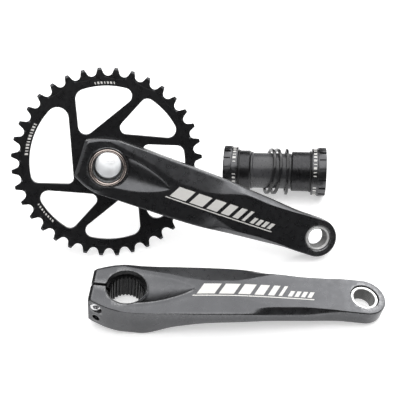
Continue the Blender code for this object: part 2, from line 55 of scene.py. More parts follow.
# Crank arms
CRANK_LENGTH = 170.0
PEDAL_FLARE = 16.0  # how far the pedal end stands out from the boss
PEDAL_THICKNESS = 13.0
PEDAL_RADIUS = 15.0
PEDAL_THREAD_RADIUS = 7.15
PEDAL_PITCH = 1.27
THREAD_DEPTH = 0.62  # in the pedal bush
INSERT_RADIUS = 9.7
INSERT_RECESS = 1.0
EYE_RADIUS = 10.0
EYE_COLUMNS = 72
TURN_STEPS = 30  # round the pedal end
BOSS_FACE = 24.6  # of the drive arm, above the chainring
BOSS_THICKNESS = 26.0  # of the left arm
DRIVE_END, LEFT_END = -22.0, -25.5  # the bosses' end faces
BOSS_CORNER, BOSS_CORNER_WIDTH = -6.0, 21.4  # where the boss starts to narrow, and half its width there
END_WIDTH = 14.0  # half the width of the end face
COLLAR_RADIUS = 15.4
COLLAR_HEIGHT = 0.4
FLUTE_END = 49.0
FLUTE_RADIUS = 13.6
FLUTE_DEPTH = 4.8
STEEP_WALL, SOFT_WALL = 0.5, 1.4  # of the flute: powers that shape its two sides
BACK_BEVEL = 1.6
NOSE_BEVEL = 2.2
NOSE_FALL, NOSE_RISE = 1.3, 1.0  # of the end face's upper and lower edges, within that bevel
# Along the arm: half the outer panel's width, how far its sides fall to the edge, half the arm's width
RIDGE = ((-6, 19.4), (5, 18.0), (30, 13.5), (45, 9.0), (60, 6.8), (75, 6.8), (85, 8.5), (97, 12.0))
RIDGE += ((107, 14.2), (127, 13.0), (145, 13.5), (155, 14.2), (161, 14.3))
EDGE_DROP = ((-6, 1.2), (5, 0.9), (30, 1.3), (60, 2.6), (85, 3.4), (107, 5.2), (127, 4.9))
EDGE_DROP += ((145, 2.6), (155, 1.0), (161, 0.6))
HALF_WIDTH = ((0, 21.6), (50, 21.4), (80, 20.6), (107, 18.6), (127, 17.1))
HALF_WIDTH += ((155, PEDAL_RADIUS), (170, PEDAL_RADIUS))
PLAIN_SHARE = ((-10, 5, 72, 92), (1.0, 0.4, 0.4, 1.0))  # of the fall, on a side with hardly a facet
CREASE = ((84.0, 107.0), (0.8, 0.12))  # where the scoop's foot crosses from the arm's edge to the ridge
FACET_SLOPE = 0.31  # the steepest that a facet falls before the crease
# Along the arm: the heights of its outer face and of its underside over the boss's face
FLARE = ((8, 0.0), (20, 1.4), (35, 4.0), (60, 8.4), (82, 11.4), (105, 13.3), (130, 14.8), (155, PEDAL_FLARE))
UNDERSIDE = ((38, -13.8), (60, -6.4), (80, -2.9), (105, 0.3), (155, PEDAL_FLARE - PEDAL_THICKNESS))
DRIVE_BOSS_REACH, LEFT_BOSS_REACH = 22.0, 12.0  # where the back of each boss ends
# The printed band, along the arm and across it
BARS = ((50.5, 12.5), (66.0, 10.5), (79.5, 8.5), (91.0, 6.5), (100.5, 4.5), (108.0, 2.5))  # start, width
BAR_LOW, BAR_HIGH = -5.0, 4.0
BAR_LEAN = 0.55
SHORT_BARS = (114.5, 132, 4.6)  # start, end, step
SHORT_BAR = 3.0
RULE = (47.5, 133.0, -6.9, -6.1)

# Chainring
TEETH = 36
PITCH_RADIUS = 12.7 / (2 * math.sin(math.pi / TEETH))
ROLLER_SEAT = 3.97
TIP_RADIUS = 75.2
SEAT_ARC = (102, 258)  # of a roller seat, in degrees from straight out
TOOTH_FLANK = ((73.4, 1.9), (TIP_RADIUS - 0.4, 1.5), (TIP_RADIUS, 1.15))  # radius, half the tooth's width
TOOTH_PHASE = 7.98
RING_THICKNESS = 3.0
WINDOW_RADIUS = 61.2
WINDOW_CHAMFER = 0.45
# Each window's corner near the hub, its two edges' directions, and its three fillets' radii
WINDOWS = (
    ((-20.8, -23.5), 111.7, 196.4, 4.5, 8.5, 6.0),
    ((-26.6, 9.8), 57.2, 113.0, 6.0, 6.0, 8.0),
    ((-4.1, 24.6), 13.6, 66.0, 5.0, 6.5, 6.0),
)
HUB_HOLE = 15.8
SNOUT_RADIUS = 15.5
RING_BOLTS = 3
RING_BOLT_CIRCLE = 18.8
RING_BOLT_RADIUS = 2.1
LEDGE_RADIUS = 66.4
LEDGE_DEPTH = 0.5
RELIEF_STEPS = 20  # per tooth
TICK_RADIUS = 63.6
TICK_RUNS = ((180.0, 11, 2.4), (110.0, 7, 1.8), (236.0, 8, 1.5))  # each run's middle, count and tick length
TICK_PITCH = 2.2  # in degrees

# Axle
AXLE_RADIUS = 12.0
AXLE_BORE = 10.0
AXLE_INNER_BORE = 9.3  # within the splined end
AXLE_TOP = 6.8
AXLE_END = 103.3
SPLINES = 30
SPLINE_DEPTH = 0.8
SPLINE_LENGTH = 21.0
AXLE_STEP = SPLINE_LENGTH - AXLE_END  # the height where the splines and the narrower bore end
TRIM_RADIUS = 14.2
TRIM_SEAT = 22.6

# Left arm's clamp
CLAMP_BOLT_X = -19.5
CLAMP_BOLTS = {"pinch_bolt_front": (-1, 7.0), "pinch_bolt_rear": (1, 18.0)}  # the head's side, the depth
CLAMP_BOLT_RADIUS = 2.5
CLAMP_HEAD_RADIUS = 4.3
CLAMP_HEAD_HEIGHT = 4.6
CLAMP_SEAT = 10.5
CLAMP_BOLT_END = 12.0
KNURL_TEETH, KNURL_DEPTH = 24, 0.12
SLIT = 2.5
CAP_SEAT_RADIUS = 14.5
CAP_SEAT_DEPTH = 4.5

# Bottom bracket
BB_HALF = 43.5
FLANGE_RADIUS = 21.0
FLANGE_COLLAR = 20.2
FLANGE_LENGTH = 12.0
NOTCHES = 16
NOTCH_LENGTH = 6.0
NOTCH_WIDTH = 2.6
THREAD_RADIUS = 17.4
THREAD_PITCH = 1.06
CUP_THREAD_DEPTH = 0.4
CUP_TICKS = 54  # places round a cup's collar; in each third, the last four stay empty
CUP_BORE = 14.5
POCKET_RADIUS = 18.8
POCKET_DEPTH = 9.0
CUP_THREADS = {"left": 11.0, "right": 17.0}
SLEEVE_RADIUS = 15.4
SLEEVE_BORE = 13.0
SPACER_RADII = (17.7, 20.2)
SPACER_THICKNESS = 2.5
SPACERS = ((-4.6, 13.0, -7.0), (0.8, 12.0, -8.0), (10.2, 2.0, -3.0))  # place along, and the two tilts
SLEEVE_FLANGE = 12.6  # outer radius of the dust cap's sleeve

# Studio: the name, radiance, size, place and aim of each soft box
LIGHTS = (
    ("overhead", 2.4, (3.0, 2.5), (0.55, 0.3, 1.5), (0.55, 0.3, 0.0)),
    ("rear", 2.5, (1.7, 1.1), (1.5, 1.35, 1.4), (0, 0, 0.05)),
    ("side_fill", 0.7, (1.2, 0.8), (-1.5, -0.2, 0.9), (0, 0, 0.05)),
)
DIM, PALE = (0.06, 0.06, 0.062, 1), (0.9, 0.9, 0.9, 1)
FLOOR = {
    "Base Color": (0.8, 0.8, 0.8, 1),
    "Roughness": 0.9,
    "Specular IOR Level": 0.0,
    "Emission Color": (1, 1, 1, 1),
    "Emission Strength": 0.5,
}
LENS = 54.85
CAMERA_PLACE = (-0.0362, -0.354, 0.3705)
CAMERA_TURN = (46.75, 3.75, -11.09)


# Places


def group_frame(origin, x, z):
    """A frame at the origin with this z axis, and its x axis as near as can be to x."""
    z = z.normalized()
    x = (x - z * x.dot(z)).normalized()
    matrix = Matrix((x, z.cross(x), z)).transposed().to_4x4()
    matrix.translation = origin
    return matrix


def drive_frame(mounts):
    z = Vector(mounts["chain_line"]["axis"])
    origin = Vector(mounts["chain_line"]["pos_m"]) + z * (RING_THICKNESS / 2 * MM)
    return group_frame(origin, Vector(mounts["drive_pedal_seat"]["pos_m"]) - origin, z)


def left_frame(mounts, joints):
    z = Vector(mounts["left_pedal_seat"]["axis"])
    x = Vector(joints["pinch_bolt_rear_out"]["axis"]).cross(z).normalized()
    reach = CRANK_LENGTH + (INSERT_RADIUS + PEDAL_THREAD_RADIUS + 1) / 2
    height = PEDAL_FLARE - INSERT_RECESS
    origin = Vector(mounts["left_pedal_seat"]["pos_m"]) - x * (reach * MM) - z * (height * MM)
    return group_frame(origin, x, z)


def bb_frame(joints):
    left, right = (Vector(joints[f"bearing_{side}_spin"]["pos_m"]) for side in ("left", "right"))
    return group_frame((left + right) / 2, Vector((0, 0, -1)), Vector(joints["bearing_left_spin"]["axis"]))


def cup_frame(side, bb):
    """At a cup's outer face, with z towards the bottom bracket's middle."""
    if side == "left":
        return bb @ Matrix.Translation((0, 0, -BB_HALF * MM))
    return bb @ Matrix.Translation((0, 0, BB_HALF * MM)) @ Matrix.Rotation(math.pi, 4, "X")


# Mesh building, in millimetres


def polar(radius, degrees):
    angle = math.radians(degrees)
    return np.array((radius * math.cos(angle), radius * math.sin(angle)))


def skin(mesh, rings, closed=False, ends=(0, -1)):
    """Joins each ring of vertices to the next, and closes the row on itself or with flat ends."""
    count = len(rings[0])
    following = rings[1:] + rings[:1] if closed else rings[1:]
    for here, there in zip(rings, following):
        for i in range(count):
            j = (i + 1) % count
            mesh.faces.new((here[i], here[j], there[j], there[i]))
    for end in () if closed else ends:
        mesh.faces.new(rings[end])


def lofted(rings, closed=False):
    """A mesh through rings of points."""
    mesh = bmesh.new()
    skin(mesh, [[mesh.verts.new(point) for point in ring] for ring in rings], closed)
    return mesh


def turned(profile, columns):
    """A closed outline of (radius, height) turned about z."""
    rings = []
    for step in range(columns):
        x, y = polar(1, 360 * step / columns)
        rings.append([(radius * x, radius * y, z) for radius, z in profile])
    return lofted(rings, closed=True)


def rod(steps, columns):
    """A solid of revolution on z: (radius, height) from one end to the other."""
    return lofted([[(*polar(radius, 360 * i / columns), z) for i in range(columns)] for radius, z in steps])


def stack(levels):
    """A loft through outlines of equal length at rising heights."""
    return lofted([[(x, y, z) for x, y in outline] for outline, z in levels])


def prism(outline, low, high):
    return stack([(outline, low), (outline, high)])


def moved(mesh, matrix):
    bmesh.ops.transform(mesh, matrix=matrix, verts=mesh.verts)
    return mesh


def shift(x, y, z):
    return Matrix.Translation((x, y, z))


def mesh_data(mesh, name="solid"):
    data = bpy.data.meshes.new(name)
    mesh.to_mesh(data)
    mesh.free()
    return data


def placed(name, data):
    made = bpy.data.objects.new(name, data)
    bpy.context.scene.collection.objects.link(made)
    return made


def joined(meshes):
    whole = bmesh.new()
    for mesh in meshes:
        data = mesh_data(mesh)
        whole.from_mesh(data)
        bpy.data.meshes.remove(data)
    return whole


def thread_run(radius, start, end, depth, pitch):
    """Profile points of a thread's grooves, from a crest at the start to a crest at the end."""
    turns = round(abs(end - start) / pitch)
    points = []
    for turn in range(turns):
        for share, level in ((0.0, 0), (0.22, 0), (0.5, 1), (0.72, 1)):
            points.append((radius - level * depth, start + (turn + share) * (end - start) / turns))
    return points + [(radius, end)]


def softened(corners, reaches, steps=4):
    """A polyline whose inner corners are curves that start and end within reach of them."""
    corners = [np.array(corner, float) for corner in corners]
    points = [corners[0]]
    for before, corner, after, reach in zip(corners, corners[1:], corners[2:], reaches):
        if not reach:
            points.append(corner)
            continue
        back, ahead = before - corner, after - corner
        lengths = [max(np.linalg.norm(side), 1e-6) for side in (back, ahead)]
        reach = min(reach, 0.45 * lengths[0], 0.45 * lengths[1])
        start, end = corner + back * reach / lengths[0], corner + ahead * reach / lengths[1]
        for share in np.linspace(0, 1, steps):
            points.append((1 - share) ** 2 * start + 2 * share * (1 - share) * corner + share**2 * end)
    return points + [corners[-1]]


def rounded_outline(corners, reach, steps=4):
    """A closed outline with every corner rounded."""
    loop = [corners[-1], *corners, corners[0]]
    return [tuple(point) for point in softened(loop, [reach] * len(corners), steps)[1:-1]]


def carve(base, steps):
    """The base with each (operation, mesh) of the steps applied in turn, as mesh data."""
    solids = []
    for mesh in (base, *(tool for _, tool in steps)):
        bmesh.ops.recalc_face_normals(mesh, faces=mesh.faces)
        solids.append(placed("solid", mesh_data(mesh)))
    for (operation, _), tool in zip(steps, solids[1:]):
        modifier = solids[0].modifiers.new("carve", "BOOLEAN")
        modifier.operation = operation
        modifier.solver = "EXACT"
        modifier.object = tool
    graph = bpy.context.evaluated_depsgraph_get()
    carved = bpy.data.meshes.new_from_object(solids[0].evaluated_get(graph))
    for solid in solids:
        data = solid.data
        bpy.data.objects.remove(solid)
        bpy.data.meshes.remove(data)
    return carved


def cuts(*meshes):
    """Steps that take the meshes away."""
    return [("DIFFERENCE", mesh) for mesh in meshes]


def piece(name, data, group, body, nodes, slot, finish, axis=Matrix.Identity(4), sharp=32):
    """Adds a piece to the visual model. axis is the piece's own turning axis in its group.

    Its mesh carries each point's place about that axis and how sharp an edge the point is on.
    """
    if isinstance(data, bmesh.types.BMesh):
        data = carve(data, [])
    data.name = name
    tidy = bmesh.new()
    tidy.from_mesh(data)
    bmesh.ops.remove_doubles(tidy, verts=tidy.verts, dist=WELD)
    bmesh.ops.dissolve_degenerate(tidy, edges=tidy.edges, dist=WELD)
    bmesh.ops.recalc_face_normals(tidy, faces=tidy.faces)
    edges = []
    for vertex in tidy.verts:
        edges.append(max((edge.calc_face_angle(0.0) for edge in vertex.link_edges), default=0.0))
    tidy.to_mesh(data)
    tidy.free()
    co = np.zeros(len(data.vertices) * 3, np.float32)
    data.vertices.foreach_get("co", co)
    own = np.array(axis.inverted())
    places = co.reshape(-1, 3) @ own[:3, :3].T + own[:3, 3]
    place = data.attributes.new("place", "FLOAT_VECTOR", "POINT")
    place.data.foreach_set("vector", places.astype(np.float32).ravel())
    edge = data.attributes.new("edge", "FLOAT", "POINT")
    edge.data.foreach_set("value", np.clip(np.array(edges) / FULL_EDGE, 0, 1))
    data.transform(group @ Matrix.Scale(MM, 4))
    data.shade_smooth()
    data.set_sharp_from_angle(angle=math.radians(sharp))
    data.materials.clear()
    data.materials.append(finish)
    made = placed(name, data)
    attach(made, body)
    if nodes:
        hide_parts(*nodes)


def fine(name, data, group, body, slot, finish, **more):
    """A piece that replaces the frame's node of that name."""
    piece(f"{name}_fine", data, group, body, [name], slot, finish, **more)


# Materials


class Finish:
    """A Principled material whose patterns are laid out in millimetres on the mesh's own place attribute."""

    def __init__(self, name, roughness, metallic=0.0, cad=False):
        self.material = bpy.data.materials.new(name)
        self.material.use_nodes = True
        self.tree = self.material.node_tree
        self.shader = self.tree.nodes["Principled BSDF"]
        self.shader.inputs["Metallic"].default_value = metallic
        self.shader.inputs["Roughness"].default_value = roughness
        self.height = None
        if cad:  # a mesh of the frame has no place attribute; its coordinates are metres
            metres = self.node("ShaderNodeTexCoord").outputs["Object"]
            self.place = self.vector("MULTIPLY", metres, (1 / MM, 1 / MM, 1 / MM)).outputs[0]
        else:
            self.place = self.attribute("place", "Vector")

    def node(self, kind, inputs=None, **settings):
        made = self.tree.nodes.new(kind)
        for key, value in settings.items():
            setattr(made, key, value)
        for key, value in (inputs or {}).items():
            if isinstance(value, bpy.types.NodeSocket):
                self.tree.links.new(value, made.inputs[key])
            else:
                made.inputs[key].default_value = value
        return made

    def attribute(self, name, output):
        return self.node("ShaderNodeAttribute", attribute_name=name).outputs[output]

    def math(self, operation, *values):
        return self.node("ShaderNodeMath", dict(enumerate(values)), operation=operation).outputs[0]

    def vector(self, operation, *values):
        return self.node("ShaderNodeVectorMath", dict(enumerate(values)), operation=operation)

    def noise(self, scale, detail, stretch=(1, 1, 1)):
        """Noise whose grains are about 1 / scale millimetres across."""
        where = self.vector("MULTIPLY", self.place, stretch).outputs[0]
        inputs = {"Vector": where, "Scale": scale, "Detail": detail}
        return self.node("ShaderNodeTexNoise", inputs).outputs["Fac"]

    def radius(self):
        """The distance from the piece's axis."""
        flat = self.vector("MULTIPLY", self.place, (1, 1, 0)).outputs[0]
        return self.vector("LENGTH", flat).outputs["Value"]

    def mapped(self, value, *ends):
        """The value, carried from the range of the first two ends to that of the last two."""
        sockets = ("Value", "From Min", "From Max", "To Min", "To Max")
        return self.node("ShaderNodeMapRange", dict(zip(sockets, (value, *ends)))).outputs["Result"]

    def within(self, radius):
        """One nearer the piece's axis than the radius, nought further out."""
        return self.mapped(self.radius(), radius - 0.3, radius + 0.3, 1.0, 0.0)

    def along(self):
        return self.node("ShaderNodeSeparateXYZ", {0: self.place}).outputs["Z"]

    def grooves(self, where, per_mm):
        """Fine lines that a lathe or a grinder leaves, uneven in spacing and depth."""
        inputs = {"W": where, "Scale": per_mm, "Detail": 3.0}
        uneven = self.node("ShaderNodeTexNoise", inputs, noise_dimensions="1D").outputs["Fac"]
        return self.math("MULTIPLY", uneven, 0.6)

    def spread(self, value, low, high):
        """A noise value, mostly 0.3 to 0.7, spread between two numbers."""
        return self.mapped(value, 0.3, 0.7, low, high)

    def patches(self, scale, detail, low=0.0, high=1.0):
        """Noise spread between two numbers."""
        return self.spread(self.noise(scale, detail), low, high)

    def mix(self, share, first, second):
        inputs = {0: share}
        for socket, value in ((6, first), (7, second)):
            inputs[socket] = value if isinstance(value, bpy.types.NodeSocket) else (*value, 1)
        return self.node("ShaderNodeMix", inputs, data_type="RGBA").outputs[2]

    def colour(self, value):
        self.tree.links.new(value, self.shader.inputs["Base Color"])

    def roughness(self, value):
        self.tree.links.new(value, self.shader.inputs["Roughness"])

    def bump(self, height, micrometres):
        """Relief of that depth; a second call adds to the first."""
        inputs = {"Strength": 1.0, "Distance": micrometres * 1e-6, "Height": height}
        if self.height:
            inputs["Normal"] = self.height
        self.height = self.node("ShaderNodeBump", inputs).outputs["Normal"]
        self.tree.links.new(self.height, self.shader.inputs["Normal"])


def scaled(colour, share):
    return tuple(share * channel for channel in colour)


def anodised(name, colour, edge_wear_and_highlight_colour, roughness, grain_depth=9, machined=False, bore=None):
    """Bead-blasted, anodised aluminium: a fine even grain, faint cloudiness, and paler edges, partly a thinner
    film and partly painted highlight.

    A machined piece has lines round its axis, and one with a bore is painted darker inside it as shade.
    """
    finish = Finish(name, roughness, metallic=0.95)
    grain = finish.noise(7.0, 3.0)
    body = finish.mix(finish.patches(0.07, 3.0), scaled(colour, 0.8), colour)
    speck = finish.mix(finish.spread(grain, 0.0, 0.3), body, scaled(colour, 1.6))
    # paler sharp edges: partly wear of a thinner film, partly painted highlight along them
    wear_and_painted_highlight = finish.math("MULTIPLY", finish.attribute("edge", "Fac"), finish.patches(0.9, 4.0, high=0.6))
    if bore:
        inside = finish.within(bore)
        # painted shade: the colour inside the bore is darkened to a fifth
        speck = finish.mix(inside, speck, scaled(colour, 0.2))
        wear_and_painted_highlight = finish.math("MULTIPLY", wear_and_painted_highlight, finish.math("MULTIPLY_ADD", inside, -0.9, 1.0))
    finish.colour(finish.mix(wear_and_painted_highlight, speck, edge_wear_and_highlight_colour))
    finish.roughness(finish.patches(0.25, 4.0, roughness - 0.05, roughness + 0.05))
    if machined:
        finish.bump(finish.grooves(finish.radius(), 3.0), 4)
    finish.bump(grain, grain_depth)
    return finish.material


def turned_metal(
    name, colour, roughness, per_mm=5.0, depth=8, lengthwise=False, bore=None, bore_shade_share=1.0, metallic=1.0
):
    """Bright metal with a lathe's or a grinder's lines, rougher inside its bore if it has one, and with its colour
    there scaled by bore_shade_share, painted shade where that is below one.
    """
    finish = Finish(name, roughness, metallic=metallic)
    lines = finish.grooves(finish.along() if lengthwise else finish.radius(), per_mm)
    shown = finish.mix(finish.patches(0.5, 4.0), scaled(colour, 0.78), colour)
    rough = finish.spread(lines, roughness - 0.06, roughness + 0.1)
    if bore:
        inside = finish.within(bore)
        # painted shade: the colour inside the bore is scaled by bore_shade_share
        shown = finish.mix(inside, shown, scaled(colour, bore_shade_share))
        rough = finish.math("MULTIPLY_ADD", inside, 0.2, rough)
    finish.colour(shown)
    finish.roughness(rough)
    finish.bump(lines, depth)
    return finish.material


def moulded(name, colour, roughness, draw=0.0, grain=5.0):
    """Moulded plastic or rubber: a soft texture, and faint lines along the way it left its mould."""
    finish = Finish(name, roughness)
    paler = tuple(min(1.0, 1.35 * channel + 0.004) for channel in colour)
    finish.colour(finish.mix(finish.patches(0.15, 3.0), colour, paler))
    finish.roughness(finish.patches(0.6, 4.0, roughness - 0.06, roughness + 0.07))
    if draw:
        finish.bump(finish.noise(1.6, 2.0, stretch=(1, 1, 0.03)), draw)
    finish.bump(finish.noise(grain, 3.0), 6)
    return finish.material


def hidden_metal(name, colour, roughness):
    """For the frame's own races and cages."""
    finish = Finish(name, roughness, metallic=1.0, cad=True)
    finish.colour(finish.mix(finish.patches(0.8, 4.0), scaled(colour, 0.8), colour))
    finish.roughness(finish.patches(2.5, 3.0, roughness - 0.05, roughness + 0.1))
    finish.bump(finish.noise(9.0, 2.0), 3)
    return finish.material


def hidden_rubber(name, colour, roughness):
    """For the frame's own seals."""
    finish = Finish(name, roughness, cad=True)
    finish.colour(finish.mix(finish.patches(0.4, 3.0), colour, scaled(colour, 1.5)))
    finish.roughness(finish.patches(1.1, 3.0, roughness - 0.08, roughness + 0.08))
    finish.bump(finish.noise(6.0, 2.0), 5)
    return finish.material


def printed(name, colour):
    """Silk-screened silver ink, slightly grainy and thin in places."""
    finish = Finish(name, 0.42)
    grain = finish.noise(5.0, 4.0)
    finish.colour(finish.mix(finish.spread(grain, 0.0, 0.5), colour, scaled(colour, 0.8)))
    finish.roughness(finish.patches(1.2, 3.0, 0.36, 0.5))
    finish.bump(grain, 8)
    return finish.material


# Crank arms


def smooth(x, table):
    """Interpolates a table of (x, y) with a curve that doesn't overshoot its points."""
    xs, ys = np.array(table, float).T
    if x <= xs[0]:
        return ys[0]
    if x >= xs[-1]:
        return ys[-1]
    slopes = np.diff(ys) / np.diff(xs)
    product = slopes[:-1] * slopes[1:]
    inner = np.where(product > 0, 2 * slopes[:-1] * slopes[1:] / (slopes[:-1] + slopes[1:] + 1e-12), 0)
    tangents = np.concatenate(([slopes[0]], inner, [slopes[-1]]))
    i = int(np.searchsorted(xs, x)) - 1
    span = xs[i + 1] - xs[i]
    t = (x - xs[i]) / span
    start = (1 + 2 * t) * (1 - t) ** 2 * ys[i] + t * (1 - t) ** 2 * span * tangents[i]
    end = t**2 * (3 - 2 * t) * ys[i + 1] + t**2 * (t - 1) * span * tangents[i + 1]
    return start + end


def arm_top(x):
    """The outer panel's height over the boss's face."""
    return float(smooth(x, FLARE))


def arm_bottom(x, boss_thickness, boss_reach):
    """The underside's height over the boss's face."""
    return float(smooth(x, ((boss_reach - 6, -boss_thickness), (boss_reach, -boss_thickness), *UNDERSIDE)))


def arm_half_width(x, end_face):
    if x < 0:
        slope = (BOSS_CORNER_WIDTH - END_WIDTH) / (BOSS_CORNER - end_face)
        bend = BOSS_CORNER - 3.5
        return smooth(x, ((end_face, END_WIDTH), (bend, END_WIDTH + slope * (bend - end_face)), *HALF_WIDTH))
    return smooth(x, HALF_WIDTH)


def arm_profile(x, end_face, boss_thickness, boss_reach, wall, plain=False):
    """Half the arm's cross-section at x, from the middle of its outer face round to that of its back.

    wall shapes the flute's side, and a plain half has nearly no facet before its scoop.
    """
    nose = max(0.0, 1 - (x - end_face) / NOSE_BEVEL)
    half_width = arm_half_width(x, end_face)
    top = arm_top(x) - NOSE_FALL * nose
    bottom = arm_bottom(x, boss_thickness, boss_reach) + NOSE_RISE * nose
    drop = smooth(x, EDGE_DROP)
    if plain:
        drop *= np.interp(x, *PLAIN_SHARE)
    ridge = min(smooth(x, RIDGE), half_width - np.interp(x, (BOSS_CORNER, 10), (2.1, 0.6)))
    flute, depth = 1.2, 0.0
    if 0 < x < FLUTE_END:
        share = x / FLUTE_END
        flute = max(flute, FLUTE_RADIUS * (1 - share**2) ** 0.8)
        depth = FLUTE_DEPTH * (1 - share) ** 0.8 * min(1.0, x / 5)
    flute = min(flute, 0.8 * ridge)
    width = half_width - ridge
    crease = float(np.interp(x, *CREASE))  # as a share of that width
    crease_drop = min(crease * drop, FACET_SLOPE * crease * width)
    corners = []
    for share in np.sin(np.linspace(0, math.pi / 2, 10)):
        corners.append((flute * share, top - depth * (1 - share**2) ** wall))
    corners += [(flute + share * (ridge - flute), top) for share in (0.33, 0.66)] + [(ridge, top)]
    corners += [(ridge + share * crease * width, top - share * crease_drop) for share in (0.5, 1)]
    corners += [(half_width, top - drop), (half_width, (top - drop + bottom) / 2)]
    corners += [(half_width, bottom + BACK_BEVEL), (half_width - BACK_BEVEL, bottom)]
    corners += [(0.5 * half_width, bottom), (0, bottom)]
    reaches = [0] * 11 + [0.7, 0, 0.6, 1.2, 0, 0.5, 0.5, 0]  # of the inner corners, one after the other
    return softened(corners, reaches)


def arm_stations(end_face):
    stations = [end_face, end_face + 0.3, end_face + 1.0, end_face + 1.7, end_face + NOSE_BEVEL]
    stations += list(np.arange(end_face + 3.5, BOSS_CORNER - 1, 1.5))
    stations += [BOSS_CORNER - 0.7, BOSS_CORNER, BOSS_CORNER + 0.7]
    stations += list(np.arange(BOSS_CORNER + 1.8, FLUTE_END, 1.2)) + [FLUTE_END]
    stations += list(np.arange(FLUTE_END + 1.2, CRANK_LENGTH - 0.6, 1.2)) + [CRANK_LENGTH]
    return stations


def forging(face, end_face, boss_thickness, boss_reach, steep_side):
    """The bare arm: lofted along x, and turned about the pedal's axis at its far end.

    The flute's steep wall is on the side of positive or negative y, so that the two arms mirror each other.
    Only the drive arm, whose steep side is positive, has a plain half.
    """
    walls = (STEEP_WALL, SOFT_WALL)[::steep_side]
    mesh = bmesh.new()
    rings = []
    for x in arm_stations(end_face):
        half = arm_profile(x, end_face, boss_thickness, boss_reach, walls[0])
        other = arm_profile(x, end_face, boss_thickness, boss_reach, walls[1], steep_side > 0)
        whole = half + [(-y, z) for y, z in reversed(other[1:-1])]
        rings.append([mesh.verts.new((x, y, face + z)) for y, z in whole])
    skin(mesh, rings, ends=(0,))
    count = len(half)
    last = rings[-1]
    near = last[:count]
    far = [last[0]] + last[: count - 2 : -1]
    rows = [near]
    for step in range(1, TURN_STEPS):
        out, side = math.sin(math.pi * step / TURN_STEPS), math.cos(math.pi * step / TURN_STEPS)
        row = [last[0]]
        for y, z in half[1:-1]:
            row.append(mesh.verts.new((CRANK_LENGTH + y * out, y * side, face + z)))
        rows.append(row + [last[count - 1]])
    rows.append(far)
    for here, there in zip(rows, rows[1:]):
        for i in range(count - 1):
            mesh.faces.new(list(dict.fromkeys((here[i], here[i + 1], there[i + 1], there[i]))))
    return mesh


def pedal_eye(face):
    """The cutter for the pedal bush's hole, with a chamfer at either mouth."""
    high, low = face + PEDAL_FLARE, face + PEDAL_FLARE - PEDAL_THICKNESS
    steps = ((EYE_RADIUS + 3.5, low - 3), (EYE_RADIUS, low + 0.5))
    steps += ((EYE_RADIUS, high - 0.45), (EYE_RADIUS + 3.45, high + 3))
    return moved(rod(steps, EYE_COLUMNS), shift(CRANK_LENGTH, 0, 0))


def pedal_insert(name, finish, group, body, face):
    """The threaded bush in the pedal eye, its outer face dished and its mouths chamfered."""
    low = face + PEDAL_FLARE - PEDAL_THICKNESS + GAP
    high = face + PEDAL_FLARE - INSERT_RECESS
    inner, outer = PEDAL_THREAD_RADIUS, INSERT_RADIUS
    run = thread_run(inner, high - 1.0, low + 1.0, -THREAD_DEPTH, PEDAL_PITCH)
    profile = [(inner + 0.9, low), (outer - 0.3, low), (outer, low + 0.3), (outer, high - 0.35)]
    profile += [(outer - 0.35, high), (outer - 1.0, high), (outer - 1.15, high - 0.12)]
    profile += [(inner + 1.1, high - 0.12), (inner + 0.95, high), (inner + 0.75, high - 0.05), *run]
    axis = shift(CRANK_LENGTH, 0, 0)
    mesh = moved(turned(profile, EYE_COLUMNS), axis)
    fine(name, mesh, group, body, "machined_silver", finish, axis=axis)


def graphic(name, finish, group, body, face):
    """A plain band of slanted bars over a thin rule, printed on the panel."""
    strips = [(x, x + width, BAR_LOW, BAR_HIGH) for x, width in BARS]
    strips += [(x, x + SHORT_BAR, BAR_LOW, 0.0) for x in np.arange(*SHORT_BARS)]
    strips.append(RULE)
    solids = []
    for start, end, low, high in strips:
        rings = []
        for x in np.linspace(start, end, 2 + int((end - start) / 1.5)):
            corners = [(x, low), (x + BAR_LEAN * (high - low), high)]
            ring = [(x, y, face + arm_top(x) + PRINT_BASE) for x, y in corners]
            ring += [(x, y, face + arm_top(x) + PRINT_TOP) for x, y in reversed(corners)]
            rings.append(ring)
        solids.append(lofted(rings))
    piece(name, joined(solids), group, body, [], "machined_silver", finish)


def spline_outline(radius, depth):
    """Square splines round a circle: the outline steps between radius and radius - depth."""
    outline = []
    for tooth in range(SPLINES):
        for share, level in ((0.04, 0), (0.24, 0), (0.44, 0), (0.56, 1), (0.76, 1), (0.96, 1)):
            outline.append(polar(radius - level * depth, (tooth + share) * 360 / SPLINES))
    return outline


def bolt_places():
    """The places of the chainring's bolts on their circle."""
    return [shift(*polar(RING_BOLT_CIRCLE, 360 / RING_BOLTS * bolt), 0) for bolt in range(RING_BOLTS)]


def bolt_holes(low, high):
    """Cutters for the chainring's bolts."""
    radius = RING_BOLT_RADIUS + GAP
    return [moved(rod(((radius, low), (radius, high)), 20), place) for place in bolt_places()]


def build_drive_arm(finishes, drive):
    collar_top = BOSS_FACE + COLLAR_HEIGHT
    lip = ((COLLAR_RADIUS, collar_top - 0.3), (COLLAR_RADIUS - 0.3, collar_top))
    collar = rod(((COLLAR_RADIUS, BOSS_FACE - 8), *lip), ROUND)
    snout = rod(((SNOUT_RADIUS, -RING_THICKNESS + GAP - 0.1), (SNOUT_RADIUS, 6)), ROUND)
    wall, seat, neck = AXLE_RADIUS + GAP, TRIM_RADIUS + GAP, AXLE_RADIUS - 0.6
    bore = ((wall, -10), (wall, AXLE_TOP + GAP), (neck, AXLE_TOP + 0.8), (neck, TRIM_SEAT))
    bore += ((seat, TRIM_SEAT), (seat, collar_top - 0.25), (seat + 5, collar_top + 4.75))
    steps = [("UNION", collar), ("UNION", snout)]
    steps += cuts(rod(bore, ROUND), pedal_eye(BOSS_FACE), joined(bolt_holes(-2, 8.6)))
    arm = carve(forging(BOSS_FACE, DRIVE_END, BOSS_FACE - GAP, DRIVE_BOSS_REACH, 1), steps)
    fine("drive_arm", arm, drive, "drive_crank", "black_anodised", finishes["arm"])
    pedal_insert("drive_pedal_insert", finishes["silver"], drive, "drive_crank", BOSS_FACE)
    graphic("drive_graphic", finishes["print"], drive, "drive_crank", BOSS_FACE)


